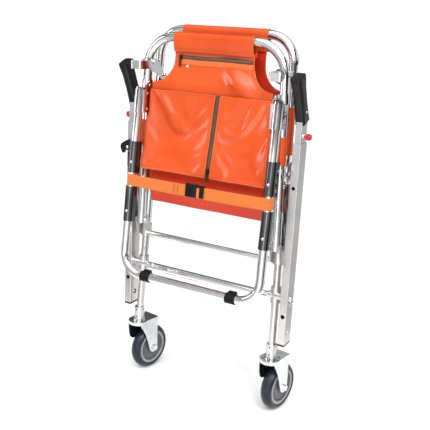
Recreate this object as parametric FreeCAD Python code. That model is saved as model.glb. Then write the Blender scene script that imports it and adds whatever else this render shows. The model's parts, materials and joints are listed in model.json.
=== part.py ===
import FreeCAD, Part
import math
import os

# Folding stair chair, stood up folded on its two swivel casters.
# Millimetres. +X right, +Y to the rear (the side that the wheels trail to), +Z up.
# The origin is on the floor, midway between the two caster stems.

Vec = FreeCAD.Vector
X_AXIS = Vec(1, 0, 0)
Y_AXIS = Vec(0, 1, 0)
Z_AXIS = Vec(0, 0, 1)
SIDES = {"left": -1, "right": 1}

# ---- driving dimensions ----
TYRE_RADIUS = 62.5            # 125 mm caster wheels
TYRE_WIDTH = 32.0
CASTER_X = 203.0              # stem axis, each side of the middle
CASTER_TRAIL = 42.0           # wheel axle behind the stem
CASTER_TOE = -10.0            # degrees that both casters stand swivelled
FRAME_R = 11.0                # back and seat frames: 22 mm tube
FRAME_WALL = 1.5
BACK_BEND = 66.0              # centreline radii of the top corners
SEAT_BEND = 76.0
LEG_R = 9.5                   # caster legs: 19 mm tube inside the back frame
LEG_WALL = 2.0
FRONT_R = 11.0                # front leg: 22 mm tube
FRONT_WALL = 1.5
FRONT_BEND = 56.0
CLOTH = 2.0                   # coated fabric, with its hems
CLEAR = 0.3                   # between parts that only pass each other
RUNNING = 0.05                # radial clearance of pins in their holes

# back frame: the inverted U that carries the casters, leaning back
BACK_FOOT_Z = 160.0
BACK_TOP_Z = 949.0
BACK_TOP_Y = 44.0
BACK_TOP_X = 183.0
BACK_END_Z = 404.0            # where the caster legs come out of it
COLLAR_TOP_Z = 436.0

# seat frame: the inverted U that folds down into the seat
SEAT_Y = -10.0
SEAT_TOP_Z = 931.0
SEAT_TOP_X = 185.6
SEAT_END_Z = 445.0
SEAT_END_X = 196.5
SEAT_PIVOT_Z = 452.0

# front leg: the U with the foot pads, hinged to the seat frame
FRONT_BAR_Y = -89.7
FRONT_BAR_Z = 329.0
FRONT_BAR_X = 196.0
FRONT_TOP_Y = -39.9
FRONT_TOP_Z = 805.0
FRONT_TOP_X = 188.8
FRONT_HINGE_Y = -23.0
FRONT_HINGE_Z = 809.0

# side rails and their telescopic handles
RAIL_IN_X = 222.0
RAIL_WIDE = 20.0
RAIL_DEEP = 38.0
RAIL_Y = 1.5                  # middle of the rail's depth
RAIL_LOW_Z = 208.0
RAIL_HIGH_Z = 712.0
RAIL_WALL = 2.0
CAP_THICK = 5.0               # lip of the black cap under each rail
RAIL_PIVOT_Y = 4.0
RAIL_PIVOT_Z = 325.0
RAIL_HOLES = ((282.0, 5.4), (606.0, 4.4))    # z and radius, in the front face
HANDLE_FIT = 0.2              # handle tube to rail, each side
HANDLE_LOW_Z = 345.0
HANDLE_HIGH_Z = 770.0
GRIP_LEAN = 25.0              # degrees, top to the front
BUTTON_Z = 727.0

# links and catches
STAY_X = 211.0
STAY_THICK = 3.0
STAY_FOOT = (16.0, 446.0)     # y, z of the bolt on the back frame
STAY_HEAD = (-10.0, 605.0)    # y, z of the stud on the seat frame
HOOK_X = 169.3                # inner face of the fold hooks
HOOK_THICK = 2.6
HOOK_BOLT_Z = 867.0
LOCK_STUD_Z = 833.0
CATCH_Z = 640.0
LATCH_SIDE = -1               # only the left rail has the latch
LATCH_X = -236.0
LATCH_Z = 645.0


def back_x(z):
    """X of the back frame's right upright at height z."""
    return CASTER_X + (BACK_TOP_X - CASTER_X) * (z - BACK_FOOT_Z) / (BACK_TOP_Z - BACK_FOOT_Z)


def back_y(z):
    """Y of the back frame's uprights at height z."""
    return BACK_TOP_Y * (z - BACK_FOOT_Z) / (BACK_TOP_Z - BACK_FOOT_Z)


def seat_x(z):
    """X of the seat frame's right upright at height z."""
    return SEAT_TOP_X + (SEAT_END_X - SEAT_TOP_X) * (SEAT_TOP_Z - z) / (SEAT_TOP_Z - SEAT_END_Z)


def front_x(z):
    """X of the front leg's right upright at height z."""
    share = (z - FRONT_BAR_Z) / (FRONT_TOP_Z - FRONT_BAR_Z)
    return FRONT_BAR_X + (FRONT_TOP_X - FRONT_BAR_X) * share


def front_y(z):
    """Y of the front leg's uprights at height z."""
    share = (z - FRONT_BAR_Z) / (FRONT_TOP_Z - FRONT_BAR_Z)
    return FRONT_BAR_Y + (FRONT_TOP_Y - FRONT_BAR_Y) * share


# ---- building blocks ----
def box(x0, x1, y0, y1, z0, z1):
    low = Vec(min(x0, x1), min(y0, y1), min(z0, z1))
    return Part.makeBox(abs(x1 - x0), abs(y1 - y0), abs(z1 - z0), low)


def rod(start, end, radius):
    """A straight round bar from start to end."""
    along = end - start
    return Part.makeCylinder(radius, along.Length, start, along)


def rod_x(x0, x1, y, z, radius):
    return rod(Vec(min(x0, x1), y, z), Vec(max(x0, x1), y, z), radius)


def ring(start, end, outer, inner):
    """A straight round tube from start to end."""
    return rod(start, end, outer).cut(rod(start, end, inner))


def prism_x(outline, x0, x1):
    """An outline of (y, z) points, drawn out along X."""
    x_low = min(x0, x1)
    points = [Vec(x_low, y, z) for y, z in outline]
    face = Part.Face(Part.makePolygon(points + points[:1]))
    return face.extrude(Vec(abs(x1 - x0), 0, 0))


def prism_y(outline, y0, y1):
    """An outline of (x, z) points, drawn out along Y."""
    points = [Vec(x, y0, z) for x, z in outline]
    face = Part.Face(Part.makePolygon(points + points[:1]))
    return face.extrude(Vec(0, y1 - y0, 0))


def bar_x(ends, half, x0, x1):
    """A flat bar in a YZ plane, round at both ends, as thick as x0 to x1."""
    (ya, za), (yb, zb) = ends
    length = math.hypot(yb - ya, zb - za)
    ny = -(zb - za) / length * half
    nz = (yb - ya) / length * half
    middle = prism_x([(ya + ny, za + nz), (yb + ny, zb + nz),
                      (yb - ny, zb - nz), (ya - ny, za - nz)], x0, x1)
    return middle.fuse([rod_x(x0, x1, ya, za, half), rod_x(x0, x1, yb, zb, half)]).removeSplitter()


def arc_corner(before, corner, after, radius):
    """(tangent point, point on the arc, tangent point) of a rounded corner."""
    back = (before - corner).normalize()
    ahead = (after - corner).normalize()
    half = back.getAngle(ahead) / 2
    reach = radius / math.tan(half)
    middle = (back + ahead).normalize() * (radius / math.sin(half) - radius)
    return corner + back * reach, corner + middle, corner + ahead * reach


def bent_bar(points, bend, radius):
    """A round bar along straight runs with rounded corners."""
    edges = []
    here = points[0]
    for before, corner, after in zip(points, points[1:], points[2:]):
        first, middle, last = arc_corner(before, corner, after, bend)
        edges.append(Part.LineSegment(here, first).toShape())
        edges.append(Part.Arc(first, middle, last).toShape())
        here = last
    edges.append(Part.LineSegment(here, points[-1]).toShape())
    profile = Part.Wire([Part.Circle(points[0], points[1] - points[0], radius).toShape()])
    return Part.Wire(edges).makePipeShell([profile], True, False)


def bent_tube(points, bend, radius, wall):
    return bent_bar(points, bend, radius).cut(bent_bar(points, bend, radius - wall))


def hexagon_x(x0, x1, y, z, across):
    """A hexagonal bolt head or nut about an axis along X."""
    corner = across / math.sqrt(3)
    angles = [math.radians(60 * i) for i in range(6)]
    return prism_x([(y + corner * math.cos(a), z + corner * math.sin(a)) for a in angles], x0, x1)


def dome(at, outward, radius):
    """A round rivet head of height radius / 2 standing on a surface."""
    sphere_r = 1.25 * radius
    height = 0.5 * radius
    ball = Part.makeSphere(sphere_r, at - outward * (sphere_r - height))
    return ball.common(Part.makeCylinder(1.5 * radius, 2 * height, at, outward))


def group(solids):
    return Part.makeCompound(solids)


def fused(first, *others):
    return first.fuse(list(others)).removeSplitter()


# ---- back frame ----
def back_upright(side, z0, z1, radius):
    """A bar on the axis of one back upright, between two heights."""
    low = Vec(side * back_x(z0), back_y(z0), z0)
    high = Vec(side * back_x(z1), back_y(z1), z1)
    return rod(low, high, radius)


def back_frame_tube():
    ends = [(-1, BACK_END_Z), (-1, BACK_TOP_Z), (1, BACK_TOP_Z), (1, BACK_END_Z)]
    points = [Vec(s * back_x(z), back_y(z), z) for s, z in ends]
    return bent_tube(points, BACK_BEND, FRAME_R, FRAME_WALL)


def caster_leg(side):
    """Slides 40 mm up into the back frame's upright, with the caster's socket welded to its foot."""
    top_z = BACK_END_Z + 40
    foot_z = 178.0
    tube = back_upright(side, foot_z, top_z, LEG_R - RUNNING)
    leg = fused(tube, caster_socket(side)).cut(back_upright(side, foot_z + 8, top_z + 1, LEG_R - LEG_WALL))
    pin_hole = rod_x(side * (CASTER_X - 30), side * (CASTER_X + 20), RAIL_PIVOT_Y, RAIL_PIVOT_Z, 4.0)
    return leg.cut(pin_hole)


def leg_collar(side):
    """Clamps the leg, and has the boss that the side rail turns against."""
    half = 13.0
    low_z = 305.0
    high_z = 345.0
    body = back_upright(side, low_z, high_z, half)
    middle_x = side * back_x(RAIL_PIVOT_Z)
    boss = rod_x(middle_x, side * (RAIL_IN_X - CLEAR), RAIL_PIVOT_Y, RAIL_PIVOT_Z, 10.0)
    inner_boss = rod_x(middle_x, side * (back_x(RAIL_PIVOT_Z) - 18), RAIL_PIVOT_Y, RAIL_PIVOT_Z, 8.0)
    collar = fused(body, boss, inner_boss)
    collar = collar.cut(back_upright(side, low_z - 5, high_z + 5, LEG_R))
    hole = rod_x(side * (CASTER_X - 40), side * (RAIL_IN_X + 1), RAIL_PIVOT_Y, RAIL_PIVOT_Z, 4.0 + RUNNING)
    return collar.cut(hole)


def caster_socket(side):
    """Sleeve at the leg's foot that holds the caster's stem."""
    low_z = 161.0
    high_z = 196.0
    foot = Vec(side * CASTER_X, 0, low_z)
    body = rod(foot, Vec(side * CASTER_X, 0, high_z), 13.5)
    lip = rod(foot, Vec(side * CASTER_X, 0, low_z + 5), 15.5)
    socket = fused(body, lip)
    stem_hole = rod(foot - Z_AXIS, Vec(side * CASTER_X, 0, 178.0), 6.0 + RUNNING)
    return socket.cut(stem_hole)


def pivot_bracket(side):
    """Sleeve on the back upright with two cheeks that hold the seat pivot."""
    sleeve = back_upright(side, BACK_END_Z, COLLAR_TOP_Z, FRAME_R + 3)
    middle = seat_x(SEAT_PIVOT_Z)
    parts = [sleeve]
    outline = [(back_y(BACK_END_Z), BACK_END_Z), (back_y(COLLAR_TOP_Z) + 2, COLLAR_TOP_Z - 4),
               (SEAT_Y + 4, SEAT_PIVOT_Z + 8.5), (SEAT_Y - 8.5, SEAT_PIVOT_Z - 2),
               (SEAT_Y + 2, BACK_END_Z + 8)]
    for x in (middle - FRAME_R - CLEAR - 2.5, middle + FRAME_R + CLEAR):
        cheek = prism_x(outline, side * x, side * (x + 2.5))
        tip = rod_x(side * x, side * (x + 2.5), SEAT_Y, SEAT_PIVOT_Z, 9.0)
        parts.append(cheek.fuse(tip))
    bracket = fused(*parts).cut(back_upright(side, BACK_END_Z - 5, COLLAR_TOP_Z + 30, FRAME_R))
    hole = rod_x(side * (middle - 20), side * (middle + 20), SEAT_Y, SEAT_PIVOT_Z, 4.0)
    return bracket.cut(hole)


def seat_pivot_pin(side):
    middle = seat_x(SEAT_PIVOT_Z)
    inner = middle - FRAME_R - CLEAR - 2.5
    outer = middle + FRAME_R + CLEAR + 2.5
    pin = rod_x(side * inner, side * outer, SEAT_Y, SEAT_PIVOT_Z, 4.0)
    head = hexagon_x(side * (inner - 5), side * inner, SEAT_Y, SEAT_PIVOT_Z, 13.0)
    return fused(pin, head)


def rail_pivot_pin(side):
    """Quick-release pin: ball on the inner end, pull ring outside the rail."""
    inner = side * 166.0
    outer = side * (RAIL_IN_X + RAIL_WIDE + 2)
    pin = rod_x(inner, outer, RAIL_PIVOT_Y, RAIL_PIVOT_Z, 4.0)
    ball = Part.makeSphere(5.5, Vec(inner, RAIL_PIVOT_Y, RAIL_PIVOT_Z))
    head = rod_x(side * (RAIL_IN_X + RAIL_WIDE + CLEAR), outer, RAIL_PIVOT_Y, RAIL_PIVOT_Z, 6.0)
    loop_x = side * (RAIL_IN_X + RAIL_WIDE + 2)
    loop = Part.makeTorus(9.0, 1.4, Vec(loop_x, RAIL_PIVOT_Y, RAIL_PIVOT_Z - 9.0), X_AXIS)
    return fused(pin, ball, head, loop)


def upper_crossbar(brackets):
    """A 16 mm rod between the two seat pivot brackets."""
    z = 409.0
    reach = back_x(z) - FRAME_R - 1
    bar = rod_x(-reach, reach, back_y(z), z, 8.0)
    return bar.cut(group(brackets))


def lower_crossbar(collars):
    """A 22 mm tube whose ends are coped to the legs."""
    y = back_y(313.0) + 12
    z = 313.0
    reach = back_x(z)
    bar = rod_x(-reach, reach, y, z, FRAME_R).cut(rod_x(-reach, reach, y, z, FRAME_R - FRAME_WALL))
    legs = [back_upright(side, z - 60, z + 60, LEG_R + 0.5) for side in SIDES.values()]
    saddled = bar.cut(group(collars)).cut(group(legs))
    return max(saddled.Solids, key=lambda solid: solid.Volume)


def lock_stud(side):
    """Stud on the back frame's inner side, which the fold lock's hook catches."""
    y = back_y(LOCK_STUD_Z)
    surface = back_x(LOCK_STUD_Z) - FRAME_R
    stud = rod_x(side * (HOOK_X - 2), side * (surface + 2), y, LOCK_STUD_Z, 3.5)
    head = rod_x(side * (HOOK_X - 4), side * (HOOK_X - 2), y, LOCK_STUD_Z, 5.0)
    return fused(stud, head).cut(back_upright(side, LOCK_STUD_Z - 20, LOCK_STUD_Z + 20, FRAME_R))


def rail_catch(side):
    """Spring clip on the back upright, open to the front, that holds the rail's stud."""
    stud_y = RAIL_Y - 8
    plate_in = STAY_X + STAY_THICK + 1.6
    plate_out = plate_in + 2.4
    plate = prism_x([(-35, 631), (-14, 634.2), (stud_y, 635.5), (stud_y, 644.5), (-14, 645), (-37, 644.5),
                     (-40, 652), (-27, 659), (-8, 665), (8, 664), (34, 652), (36, 632), (16, 624), (2, 620),
                     (-5, 626), (-12, 616), (-18, 625), (-25, 615), (-30, 624)],
                    side * plate_in, side * plate_out)
    seat_hole = rod_x(side * plate_in, side * plate_out, stud_y, CATCH_Z, 4.6)
    saddle = box(side * (back_x(CATCH_Z) + 2), side * plate_out, 17, 36, 632, 648)
    upright = back_upright(side, CATCH_Z - 40, CATCH_Z + 40, FRAME_R)
    return fused(plate.cut(seat_hole), saddle).cut(upright)


def neck_outline(top_z, neck, wide, shoulder_z, low_z, low_wide):
    """Right half of a back or seat cover: a neck that flares in a hollow curve."""
    points = [(0, top_z), (neck, top_z)]
    drop = top_z - 28 - shoulder_z
    for i in range(7):
        turn = math.radians(90 * i / 6)
        points.append((neck + (wide - neck) * (1 - math.cos(turn)), shoulder_z + drop * (1 - math.sin(turn))))
    points.append((wide, low_z + 85))
    points.append((low_wide, low_z))
    points.append((0, low_z))
    return points


def both_halves(half):
    mirrored = [(-x, z) for x, z in reversed(half) if x > 0]
    return half + mirrored


def back_sheet():
    """Cover of the backrest, with four sleeves round the uprights."""
    low_z = 514.0
    outline = both_halves(neck_outline(906.0, 112, 168, 822, low_z, 158))
    prism = prism_y(outline, -60, 90)
    rear = [(back_y(z) + CLOTH / 2, z) for z in (low_z - 10, 915)]
    front = [(back_y(z) - CLOTH / 2, z) for z in (915, low_z - 10)]
    slab = prism_x(rear + front, -200, 200)
    parts = [slab.common(prism)]
    bores = []
    for side in SIDES.values():
        for z0, z1 in ((534, 606), (672, 786)):
            parts.append(back_upright(side, z0, z1, FRAME_R + CLEAR + CLOTH))
            parts.append(slab.common(box(side * 150, side * back_x(z0), -60, 90, z0, z1)))
        bores.append(back_upright(side, 500, 820, FRAME_R + CLEAR))
    return fused(*parts).cut(group(bores))


def wrap(y, z, half_wide, low_z):
    """Cover folded over a top bar and sewn under it."""
    outer_r = FRAME_R + CLOTH
    over = rod_x(-half_wide, half_wide, y, z, outer_r)
    hang = box(-half_wide, half_wide, y - outer_r, y + outer_r, low_z, z)
    return fused(over, hang).cut(rod_x(-half_wide - 1, half_wide + 1, y, z, FRAME_R + CLEAR))


# ---- seat frame ----
def seat_upright(side, z0, z1, radius):
    return rod(Vec(side * seat_x(z0), SEAT_Y, z0), Vec(side * seat_x(z1), SEAT_Y, z1), radius)


def seat_frame_path():
    ends = [(-1, SEAT_END_Z), (-1, SEAT_TOP_Z), (1, SEAT_TOP_Z), (1, SEAT_END_Z)]
    return [Vec(s * seat_x(z), SEAT_Y, z) for s, z in ends]


def seat_frame_tube():
    tube = bent_tube(seat_frame_path(), SEAT_BEND, FRAME_R, FRAME_WALL)
    return tube.cut(rod_x(-240, 240, SEAT_Y, SEAT_PIVOT_Z, 4.0 + RUNNING))


def seat_sheet():
    """Seat cover: hangs from the top bar, passes in front of the uprights, sleeved onto them."""
    outline = both_halves(neck_outline(892.0, 108, 165, 820, 515.0, 157))
    prism = prism_y(outline, -60, 40)
    front_y0 = SEAT_Y - FRAME_R - CLEAR
    run = [(SEAT_Y + 1, 900), (SEAT_Y + 1, 868), (front_y0, 806), (front_y0, 505)]
    shape = run + [(y - CLOTH, z) for y, z in reversed(run)]
    sheet = prism_x(shape, -200, 200).common(prism)
    parts = [sheet]
    for side in SIDES.values():
        sleeve = seat_upright(side, 650, 734, FRAME_R + CLEAR + CLOTH)
        flap = box(side * 160, side * seat_x(720), front_y0 - CLOTH, front_y0, 650, 734)
        parts += [sleeve, flap]
    bores = [seat_upright(side, 640, 800, FRAME_R + CLEAR) for side in SIDES.values()]
    return fused(*parts).cut(group(bores))


def seat_pocket():
    """The two zipped pockets on the seat cover, as one full pouch."""
    back_y0 = SEAT_Y - FRAME_R - 2 * CLEAR - CLOTH
    outline = [(back_y0, 803), (back_y0 - 7, 803), (back_y0 - 14, 700), (back_y0 - 25, 612),
               (back_y0 - 21, 598), (back_y0, 598)]
    return prism_x(outline, -164, 164)


def hinge_ear(side):
    """Saddle on the seat upright that carries the front leg's hinge."""
    x0 = HINGE_PLATE_X + HINGE_PLATE + 0.3
    x1 = x0 + 2.6
    plate = bar_x(((FRONT_HINGE_Y, FRONT_HINGE_Z), (SEAT_Y, FRONT_HINGE_Z)), 9.0, side * x0, side * x1)
    low = Vec(side * seat_x(798), SEAT_Y, 798)
    high = Vec(side * seat_x(822), SEAT_Y, 822)
    ear = fused(plate, rod(low, high, FRAME_R + 2))
    ear = ear.cut(seat_upright(side, 780, 845, FRAME_R))
    return ear.cut(rod_x(side * (x0 - 1), side * (x1 + 1), FRONT_HINGE_Y, FRONT_HINGE_Z, 3.0))


def hook_bolt(side):
    """Pivot bolt of the fold hook on the seat upright's inner side, and its domed nut outside."""
    middle = side * seat_x(HOOK_BOLT_Z)
    bolt = rod_x(side * (HOOK_X - 0.3), middle, SEAT_Y, HOOK_BOLT_Z, 3.0)
    head = rod_x(side * (HOOK_X - 4), side * (HOOK_X - 0.3), SEAT_Y, HOOK_BOLT_Z, 6.0)
    nut = rod_x(middle, middle + side * (FRAME_R + 5), SEAT_Y, HOOK_BOLT_Z, 6.0)
    return fused(bolt, head, nut).cut(bent_bar(seat_frame_path(), SEAT_BEND, FRAME_R)).Solids


def stay_stud(side):
    """Stud of the slotted stay: it stops short of the stay, whose slot is the open pivot."""
    y, z = STAY_HEAD
    stud = rod_x(side * (seat_x(z) + 2), side * (STAY_X - CLEAR), y, z, 4.0)
    return stud.cut(seat_upright(side, z - 20, z + 20, FRAME_R))


def fold_hook(side):
    """Fold lock: a finger loop in front, a pivot on the seat frame, a hook under the stud behind."""
    x_in = side * HOOK_X
    x_out = side * (HOOK_X + HOOK_THICK)
    stud_y = back_y(LOCK_STUD_Z)
    lip = LOCK_STUD_Z - 5.5
    arm = prism_x([(SEAT_Y - 20, 868), (SEAT_Y - 9, 875), (SEAT_Y + 8, 875), (SEAT_Y + 28, 862),
                   (stud_y - 4.5, lip + 10.5), (stud_y - 5, lip + 2.5), (stud_y - 3, lip), (stud_y + 7, lip),
                   (stud_y + 8, lip - 6.5), (stud_y - 10, lip - 6.5), (SEAT_Y + 16, 838), (SEAT_Y - 20, 848)],
                  x_in, x_out)
    hole = rod_x(x_in - side, x_out + side, SEAT_Y, HOOK_BOLT_Z, 3.0 + RUNNING)
    loop_front = SEAT_Y - 58
    x_far = side * (HOOK_X + 34)
    loop_low = 850.5
    loop_high = 870.5
    loop = box(x_in, x_far, loop_front, SEAT_Y - 17, loop_low, loop_high)
    cavity = box(x_out, x_far + side, loop_front + HOOK_THICK, SEAT_Y - 10, loop_low - 6, loop_high + 6)
    rim = [edge for edge in loop.Edges
           if abs(edge.Length - (loop_high - loop_low)) < 0.1 and edge.CenterOfMass.y < loop_front + 1]
    return fused(arm, loop.makeFillet(8.0, rim).cut(cavity)).cut(hole)


def seat_stay(side):
    """Slotted link between the back frame and the seat frame."""
    bar = bar_x((STAY_FOOT, STAY_HEAD), 8.0, side * STAY_X, side * (STAY_X + STAY_THICK))
    fy, fz = STAY_FOOT
    hy, hz = STAY_HEAD
    start = (fy + 0.3 * (hy - fy), fz + 0.3 * (hz - fz))
    slot = bar_x((start, (hy, hz)), 3.0, side * (STAY_X - 1), side * (STAY_X + STAY_THICK + 1))
    hole = rod_x(side * (STAY_X - 1), side * (STAY_X + STAY_THICK + 1), fy, fz, 3.0 + RUNNING)
    return bar.cut(slot).cut(hole)


def stay_bolt(side):
    """Shoulder bolt of the stay, with a wing head beside the rail."""
    y, z = STAY_FOOT
    shank = rod_x(side * (back_x(z) + 4), side * (STAY_X + STAY_THICK + 0.6), y, z, 3.0)
    shoulder = rod_x(side * (back_x(z) + 4), side * (STAY_X - CLEAR), y, z, 5.5)
    head = rod_x(side * (STAY_X + STAY_THICK + 0.6), side * (STAY_X + STAY_THICK + 4), y, z, 6.5)
    wing_x = STAY_X + STAY_THICK + 0.8
    wing = box(side * wing_x, side * (wing_x + 2.6), y - 13, y + 13, z - 2.5, z + 2.5)
    bolt = fused(shank, shoulder, head, wing)
    return bolt.cut(back_upright(side, z - 20, z + 20, FRAME_R))


# ---- front leg ----
LEG_LEAN = math.degrees(math.atan2(FRONT_TOP_Y - FRONT_BAR_Y, FRONT_TOP_Z - FRONT_BAR_Z))


def front_upright(side, z0, z1, radius):
    low = Vec(side * front_x(z0), front_y(z0), z0)
    high = Vec(side * front_x(z1), front_y(z1), z1)
    return rod(low, high, radius)


def lean_with_leg(shape, z):
    """Tip a shape that is built upright about the leg's axis at height z."""
    return shape.rotate(Vec(0, front_y(z), z), X_AXIS, -LEG_LEAN)


def front_leg_tube():
    ends = [(-1, FRONT_TOP_Z), (-1, FRONT_BAR_Z), (1, FRONT_BAR_Z), (1, FRONT_TOP_Z)]
    points = [Vec(s * front_x(z), front_y(z), z) for s, z in ends]
    return bent_tube(points, FRONT_BEND, FRONT_R, FRONT_WALL)


HINGE_PLATE_X = 172.6         # inner face of the hinge plate on the leg's sleeve
HINGE_PLATE = 2.4
SLEEVE_Z = (742.0, 800.0)


def leg_sleeve(side):
    """Riveted sleeve on the leg: an outer cheek, and the inner plate that reaches the hinge."""
    low_z, high_z = SLEEVE_Z
    plate_in = side * HINGE_PLATE_X
    plate_out = side * (HINGE_PLATE_X + HINGE_PLATE)
    y = front_y(770)
    sleeve = front_upright(side, low_z, high_z, FRONT_R + 2)
    plate = prism_x([(y - 2, low_z), (y + 21, low_z), (FRONT_HINGE_Y + 9, FRONT_HINGE_Z - 12),
                     (FRONT_HINGE_Y - 6, FRONT_HINGE_Z + 7), (y, high_z)], plate_in, plate_out)
    eye = rod_x(plate_in, plate_out, FRONT_HINGE_Y, FRONT_HINGE_Z, 10.0)
    web = box(plate_in, side * (front_x(770) - 6), y - 4, y + 1, low_z, high_z)
    cheek = prism_x([(y - 4, low_z), (y + 18, low_z + 3), (y + 22, high_z - 3), (y, high_z)],
                    side * (front_x(770) + FRONT_R + 0.4), side * (front_x(770) + FRONT_R + 2.4))
    window = rod_x(side * 195, side * 210, y + 9, 781.0, 5.0)
    whole = fused(sleeve, plate, eye, web, cheek).cut(front_upright(side, low_z - 20, high_z + 30, FRONT_R))
    hole = rod_x(plate_in - side, plate_out + side, FRONT_HINGE_Y, FRONT_HINGE_Z, 3.0 + RUNNING)
    return whole.cut(hole).cut(window)


def hinge_pin(side):
    """Rivet through the hinge ear and the sleeve's plate."""
    start = HINGE_PLATE_X - 0.3
    pin = rod_x(side * start, side * (HINGE_PLATE_X + HINGE_PLATE + 2.9), FRONT_HINGE_Y, FRONT_HINGE_Z, 3.0)
    head = dome(Vec(side * (start + 0.1), FRONT_HINGE_Y, FRONT_HINGE_Z), Vec(-side, 0, 0), 5.0)
    return fused(pin, head)


CHANNELS = {"upper": (590.0, 670.0), "lower": (464.0, 555.0)}
CHANNEL_WALL = 2.4
CHANNEL_DEEP = 10.0           # sides of the channel behind the leg's axis


def leg_channel(side, low_z, high_z):
    """Round-nosed channel over the front of the leg, riveted through its sides."""
    middle_z = (low_z + high_z) / 2
    x = side * front_x(middle_z)
    y = front_y(middle_z)
    outer = FRONT_R + CHANNEL_WALL
    nose = rod(Vec(x, y, low_z), Vec(x, y, high_z), outer)
    sides = box(x - outer, x + outer, y, y + CHANNEL_DEEP, low_z, high_z)
    inside = box(x - FRONT_R, x + FRONT_R, y, y + outer + 1, low_z - 1, high_z + 1)
    channel = lean_with_leg(nose.fuse(sides).cut(inside), middle_z)
    return channel.cut(front_upright(side, low_z - 20, high_z + 20, FRONT_R))


def channel_rivets(side, low_z, high_z):
    """One rivet in the channel's nose and two in its outer side."""
    middle_z = (low_z + high_z) / 2
    x = front_x(middle_z)
    y = front_y(middle_z)
    outer = FRONT_R + CHANNEL_WALL
    heads = [dome(Vec(side * x, y - outer, low_z + 27), Vec(0, -1, 0), 3.4)]
    for z in (low_z + 13, high_z - 20):
        heads.append(dome(Vec(side * (x + outer), y + 4, z), Vec(side, 0, 0), 3.4))
    return [lean_with_leg(head, middle_z) for head in heads]


def sleeve_rivets(side):
    y = front_y(770)
    inner = [dome(Vec(side * HINGE_PLATE_X, y + 12, z), Vec(-side, 0, 0), 3.8) for z in (751.0, 789.0)]
    outer_x = side * (front_x(770) + FRONT_R + 2.4)
    return inner + [dome(Vec(outer_x, y + 12, 752.0), Vec(side, 0, 0), 3.8)]


def foot_pad(side):
    """Rubber ring on the bottom bar, with the tab of its seam on top."""
    x0 = 111.0
    x1 = 137.0
    outer = FRONT_R + 2.4
    body = rod_x(side * x0, side * x1, FRONT_BAR_Y, FRONT_BAR_Z, outer)
    tab = box(side * (x0 + 3), side * (x1 - 3), FRONT_BAR_Y + 3, FRONT_BAR_Y + 12,
              FRONT_BAR_Z + outer - 4, FRONT_BAR_Z + outer + 2)
    return fused(body, tab).cut(rod_x(side * (x0 - 1), side * (x1 + 1), FRONT_BAR_Y, FRONT_BAR_Z, FRONT_R))


STRAP_Z = 573.0
STRAP_HIGH = 29.0
STRAP_THICK = 2.0
BUCKLE_END = {-1: 22.0, 1: 27.5}      # where each half of the webbing leaves the buckle
BUCKLE_SPLIT = 8.0


def leg_strap():
    """Webbing round both uprights of the leg, crossing in front, parted at the buckle."""
    low_z = STRAP_Z - STRAP_HIGH / 2
    high_z = STRAP_Z + STRAP_HIGH / 2
    inner = FRONT_R + CLEAR
    outer = inner + STRAP_THICK
    y = front_y(STRAP_Z)
    reach = front_x(STRAP_Z)
    halves = []
    for side in SIDES.values():
        band = box(side * BUCKLE_END[side], side * reach, y - outer, y - inner, low_z, high_z)
        loop = rod(Vec(side * reach, y, low_z), Vec(side * reach, y, high_z), outer)
        bore = rod(Vec(side * reach, y, low_z - 5), Vec(side * reach, y, high_z + 5), inner)
        halves.append(lean_with_leg(fused(band, loop).cut(bore), STRAP_Z))
    return group(halves)


def buckle_housing():
    y = front_y(STRAP_Z) - FRONT_R - 1.5
    body = box(-BUCKLE_END[-1], BUCKLE_SPLIT, y - 5.5, y + 5.5, STRAP_Z - 16.5, STRAP_Z + 16.5)
    rim = [edge for edge in body.Edges if edge.BoundBox.XLength > 25]
    mouth = box(-8, BUCKLE_SPLIT + 1, y - 3, y + 3, STRAP_Z - 13.5, STRAP_Z + 13.5)
    return lean_with_leg(body.makeFillet(3.0, rim).cut(mouth), STRAP_Z)


def buckle_insert():
    y = front_y(STRAP_Z) - FRONT_R - 1.5
    base = box(BUCKLE_SPLIT + CLEAR, BUCKLE_END[1], y - 5, y + 5, STRAP_Z - 15.5, STRAP_Z + 15.5)
    rim = [edge for edge in base.Edges if edge.BoundBox.XLength > 15]
    prongs = [box(-6, BUCKLE_SPLIT + 0.4, y - 2.6, y + 2.6, STRAP_Z + dz - 3, STRAP_Z + dz + 3)
              for dz in (-10, 10)]
    return lean_with_leg(fused(base.makeFillet(3.0, rim), *prongs), STRAP_Z)


def zip_slider(at, tab_long):
    """Zip slider with its pull hanging from it."""
    body = box(at.x - 4, at.x + 4, at.y - 4, at.y, at.z - 6, at.z + 6)
    corners = [edge for edge in body.Edges if edge.BoundBox.YLength > 3.9]
    body = body.makeFillet(2.0, corners)
    tab = box(at.x - 2.5, at.x + 2.5, at.y - 6.2, at.y - 4.6, at.z - 2 - tab_long, at.z + 2)
    bridge = box(at.x - 1.5, at.x + 1.5, at.y - 5, at.y - 3.5, at.z - 2, at.z + 2)
    return fused(body, tab, bridge)


# ---- side rails and handles ----
def hollow_box(x_middle, y_middle, wide, deep, z0, z1, wall):
    def block(less, extra):
        return box(x_middle - wide / 2 + less, x_middle + wide / 2 - less,
                   y_middle - deep / 2 + less, y_middle + deep / 2 - less, z0 - extra, z1 + extra)

    outer = block(0, 0)
    edges = [e for e in outer.Edges if e.BoundBox.ZLength > z1 - z0 - 1]
    return outer.makeFillet(1.5, edges).cut(block(wall, 1))


def rail_middle(side):
    return side * (RAIL_IN_X + RAIL_WIDE / 2)


def latch_pin():
    front = RAIL_Y - RAIL_DEEP / 2
    pin = Part.makeCylinder(2.5, 11.2, Vec(LATCH_X, front - 10.2, LATCH_Z), Y_AXIS)
    head = dome(Vec(LATCH_X, front - 9.8, LATCH_Z), Vec(0, -1, 0), 4.4)
    return fused(pin, head)


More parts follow.
